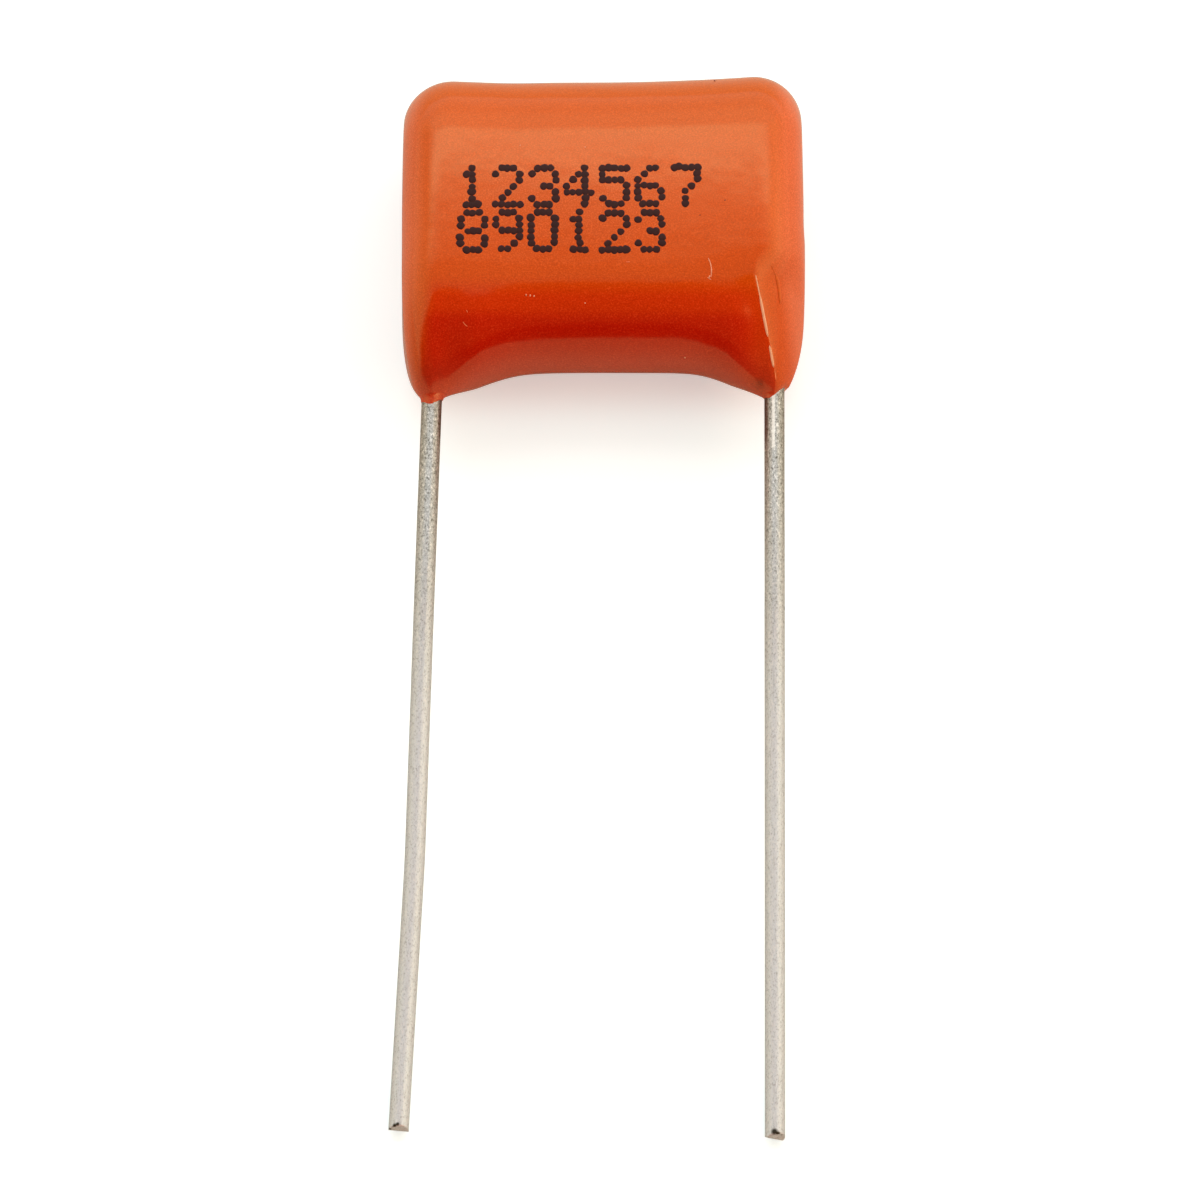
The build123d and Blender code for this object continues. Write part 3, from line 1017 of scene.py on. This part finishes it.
class CAPACITOR_OT_marking(bpy.types.Operator):
    """Print the dots of the marking on the face"""

    bl_idname = "capacitor.marking"
    bl_label = "Marking"

    def execute(self, context):
        marking = context.scene.capacitor_marking
        form = CoatForm(context.scene.capacitor_coat)
        rng = np.random.default_rng(9)
        dots = print_dots(marking)
        count = 14
        angle = np.arange(count) / count * 2 * math.pi
        around = np.stack([np.cos(angle), np.sin(angle)])
        rings, levels = np.array(DOT_PROFILE).T
        height = np.append(1.0, np.repeat(levels, count))[:, None] * marking.rise
        fan = [[0, 1 + i, 1 + (i + 1) % count] for i in range(count)]
        loops = [*fan, *(1 + ring_quads(len(rings), count)).tolist()]
        vertices, faces = [], []
        for centre in dots:
            radius = marking.dot / 2 * rng.normal(1, 0.05)
            wobble = 1 + 0.06 * np.cos(angle * rng.integers(2, 5) + rng.uniform(0, 6))
            outline = centre[:, None, None] + rings[:, None] * (radius * wobble * around)[:, None]
            x, y = (np.append(c, part.ravel()) for c, part in zip(centre, outline))
            points, normals = form.on_face(x, y)
            faces.extend([[len(vertices) + corner for corner in loop] for loop in loops])
            vertices.extend(points + normals * height)
        piece = mesh_object("ink_marking", vertices, faces, ink_material(marking))
        return {"FINISHED"}


class CAPACITOR_OT_marks(bpy.types.Operator):
    """Lay lint, scratches and specks on the coat, painted shade in a fold at the right end, and a
    painted glint along one crest
    """

    bl_idname = "capacitor.marks"
    bl_label = "Fine Marks"

    def execute(self, context):
        marks = context.scene.capacitor_marks
        form = CoatForm(context.scene.capacitor_coat)
        paths = [(kind, size, [(x * MM, y * MM) for x, y in path]) for kind, size, path in MARKS]
        # Painted highlight: pale strips along the right leg's crest stand for its glint.
        for size, first, last in CREST_GLINT:
            y = np.linspace(first, last, 12) * MM
            x = crest_x(LEAD_X, y) - 0.02 * (y + 2.3 * MM)
            paths.append(("worn", size, list(zip(x, y))))
        for kind, tint, roughness in (
            ("lint", marks.lint_colour, 0.6),
            ("scratch", marks.scratch_colour, 0.6),
            ("worn", marks.painted_shade_and_glint_colour, 0.5),
            ("crease", marks.crease_shade_colour, 0.6),
            ("speck", marks.speck_colour, 0.6),
        ):
            vertices, faces = [], []
            for of_kind, size, path in paths:
                if of_kind == kind:
                    points, loops = ridge(form, path, size * MM, marks.step, marks.flatness)
                    faces.extend([[i + len(vertices) for i in loop] for loop in loops])
                    vertices.extend(points)
            material = mark_material(kind, tint, roughness)
            piece = mesh_object(kind + "_marks", vertices, faces, material)
        return {"FINISHED"}


class CAPACITOR_OT_element(bpy.types.Operator):
    """Finish the wound element and its sprayed contacts inside the coat"""

    bl_idname = "capacitor.element"
    bl_label = "Element"

    def execute(self, context):
        film, metal = film_material(), sprayed_metal_material()
        for node, material in (
            ("film_winding", film),
            ("outer_wrap", film),
            ("end_contact_left", metal),
            ("end_contact_right", metal),
        ):
            piece = frame["nodes"][node]
            piece.data.materials.clear()
            piece.data.materials.append(material)
        return {"FINISHED"}


# Changes of the overhead panel's light from front to back: amount, start and end of each.
PANEL_GLOW = (
    (0.6, 0.2, 0.36),
    (1.5, 0.37, 0.49),
    (0.3, 0.46, 0.5),
    (-1.3, 0.48, 0.78),
    (-0.5, 0.9, 2.2),
)


def studio_world(level):
    """The light around the object, and white where the camera looks past it.

    A panel hangs overhead and brightens toward its far edge. Warm light comes from both flanks,
    with a bright strip in the right one, and the front is dark and reddish.
    """
    world = bpy.data.worlds.new("studio")
    bpy.context.scene.world = world
    shader = Shader(world)
    direction = shader.node("ShaderNodeTexCoord", output="Generated")
    x, y, z = shader.parts(direction)
    aside = shader.absolute(x)
    back = y / shader.maths("MAXIMUM", z, 0.001)
    azimuth = shader.maths("ARCTAN2", aside, -y)
    from_top = shader.maths("ARCCOSINE", z)
    flanks = shader.step(azimuth, math.radians(45), math.radians(60))
    low = 0.75 + 0.25 * shader.step(from_top, math.radians(35), math.radians(60))
    high = shader.step(from_top, math.radians(76), math.radians(58))
    around = (0.98 + 0.75 * shader.step(x, 0.1, 0.6) * high) * low * flanks
    front = 0.5 * shader.step(from_top, math.radians(72), math.radians(64)) * (1 - flanks)
    edge = aside - 0.3 * shader.maths("MAXIMUM", y, 0)
    panel = shader.step(back, -0.225, -0.13) * shader.step(edge, 0.65, 0.3)
    glow = 0.4
    for change, start, end in PANEL_GLOW:
        glow = glow + change * shader.step(back, start, end)
    strip = shader.step(azimuth, math.radians(46), math.radians(52))
    strip = strip * shader.step(azimuth, math.radians(64), math.radians(58))
    strip = 3.0 * strip * shader.step(x, 0.1, 0.3) * shader.step(from_top, math.radians(30), 0.8)
    light = (around + front + strip) * (1 - panel) + glow * panel
    light = light * shader.step(z, -0.01, 0.01) * level
    camera = shader.node("ShaderNodeLightPath", output="Is Camera Ray")
    strength = light * (1 - camera) + camera
    hue = shader.blend(flanks, (1, 0.2, 0.06), (1, 0.86, 0.66))
    hue = shader.blend(shader.clamp(panel + camera), hue, (1, 1, 1))
    background = shader.node("ShaderNodeBackground", None, {"Color": hue, "Strength": strength})
    shader.node("ShaderNodeOutputWorld", None, {"Surface": background})


def floor_material():
    """White table that keeps the object's soft shadow."""
    material = bpy.data.materials.new("white_table")
    shader = Shader(material)
    camera = shader.node("ShaderNodeLightPath", output="Is Camera Ray")
    glossy = shader.node("ShaderNodeLightPath", output="Is Glossy Ray")
    x, y, _ = shader.parts(shader.position())
    # Painted shade: in reflections the table is painted darker in front of the object, and less
    # blue.
    behind = shader.step(y, -20 * MM, 10 * MM)
    level = 0.82 - glossy * (0.12 + 0.16 * (1 - behind))
    grey = shader.combined(level, level, level - 0.10 * glossy)
    paint = shader.node("ShaderNodeBsdfDiffuse", None, {"Color": grey})
    # Painted shadow: the camera-only lift is dimmed in the contact shadow between the legs.
    close = shader.step(y, -5.4 * MM, -3.9 * MM) * shader.step(y, 5 * MM, 3 * MM)
    close = close * shader.step(shader.absolute(x), 6 * MM, 4.5 * MM)
    tint = shader.blend(close, (0.74, 0.98, 1), (0.60, 0.72, 0.73))
    lift = shader.node("ShaderNodeEmission", None, {"Color": tint, "Strength": camera * 0.6})
    both = shader.node("ShaderNodeAddShader", None, {0: paint, 1: lift})
    shader.node("ShaderNodeOutputMaterial", None, {"Surface": both})
    return material


class CAPACITOR_OT_stage(bpy.types.Operator):
    """Set up the floor, the light and the camera"""

    bl_idname = "capacitor.stage"
    bl_label = "Stage"

    def execute(self, context):
        stage = context.scene.capacitor_stage
        half = stage.floor_size / 2
        corners = [(-half, -half, 0), (half, -half, 0), (half, half, 0), (-half, half, 0)]
        mesh = bpy.data.meshes.new("floor")
        mesh.from_pydata(corners, [], [(0, 1, 2, 3)])
        mesh.materials.append(floor_material())
        floor = bpy.data.objects.new("floor", mesh)
        floor.location.z = CAD_BOX[0][2] - 0.002 * MM
        context.scene.collection.objects.link(floor)
        studio_world(stage.light)

        low, high = Vector(CAD_BOX[0]), Vector(CAD_BOX[1])
        aim = (low + high) / 2 + Vector((stage.aim_x, 0, 0))
        away = Vector((0, -math.cos(stage.elevation), math.sin(stage.elevation)))
        data = bpy.data.cameras.new("camera")
        data.sensor_width = 36.0
        data.lens = data.sensor_width * stage.distance / stage.frame_width
        data.clip_end = 10.0
        camera = bpy.data.objects.new("camera", data)
        camera.location = aim + away * stage.distance
        camera.rotation_euler = (-away).to_track_quat("-Z", "Y").to_euler()
        context.scene.collection.objects.link(camera)
        context.scene.camera = camera
        context.scene.view_settings.view_transform = "Standard"
        return {"FINISHED"}


class CAPACITOR_PT_panel(bpy.types.Panel):
    """Lists the pieces of the capacitor in the sidebar"""

    bl_idname = "CAPACITOR_PT_panel"
    bl_label = "Film Capacitor"
    bl_space_type = "VIEW_3D"
    bl_region_type = "UI"
    bl_category = "Film Capacitor"

    def draw(self, context):
        for operator in OPERATORS:
            self.layout.operator(operator.bl_idname)


SETTINGS = {
    "capacitor_coat": CoatSettings,
    "capacitor_lead": LeadSettings,
    "capacitor_marking": MarkingSettings,
    "capacitor_marks": MarkSettings,
    "capacitor_stage": StageSettings,
}
OPERATORS = (
    CAPACITOR_OT_stage,
    CAPACITOR_OT_coat,
    CAPACITOR_OT_leads,
    CAPACITOR_OT_marking,
    CAPACITOR_OT_marks,
    CAPACITOR_OT_element,
)
CLASSES = (*SETTINGS.values(), *OPERATORS, CAPACITOR_PT_panel)


def register():
    for cls in CLASSES:
        bpy.utils.register_class(cls)
    for name, group in SETTINGS.items():
        setattr(bpy.types.Scene, name, PointerProperty(type=group))


def unregister():
    for name in SETTINGS:
        delattr(bpy.types.Scene, name)
    for cls in reversed(CLASSES):
        bpy.utils.unregister_class(cls)


def main():
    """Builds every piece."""
    register()
    for operator in OPERATORS:
        group, name = operator.bl_idname.split(".")
        getattr(getattr(bpy.ops, group), name)()


if __name__ == "__main__":
    main()
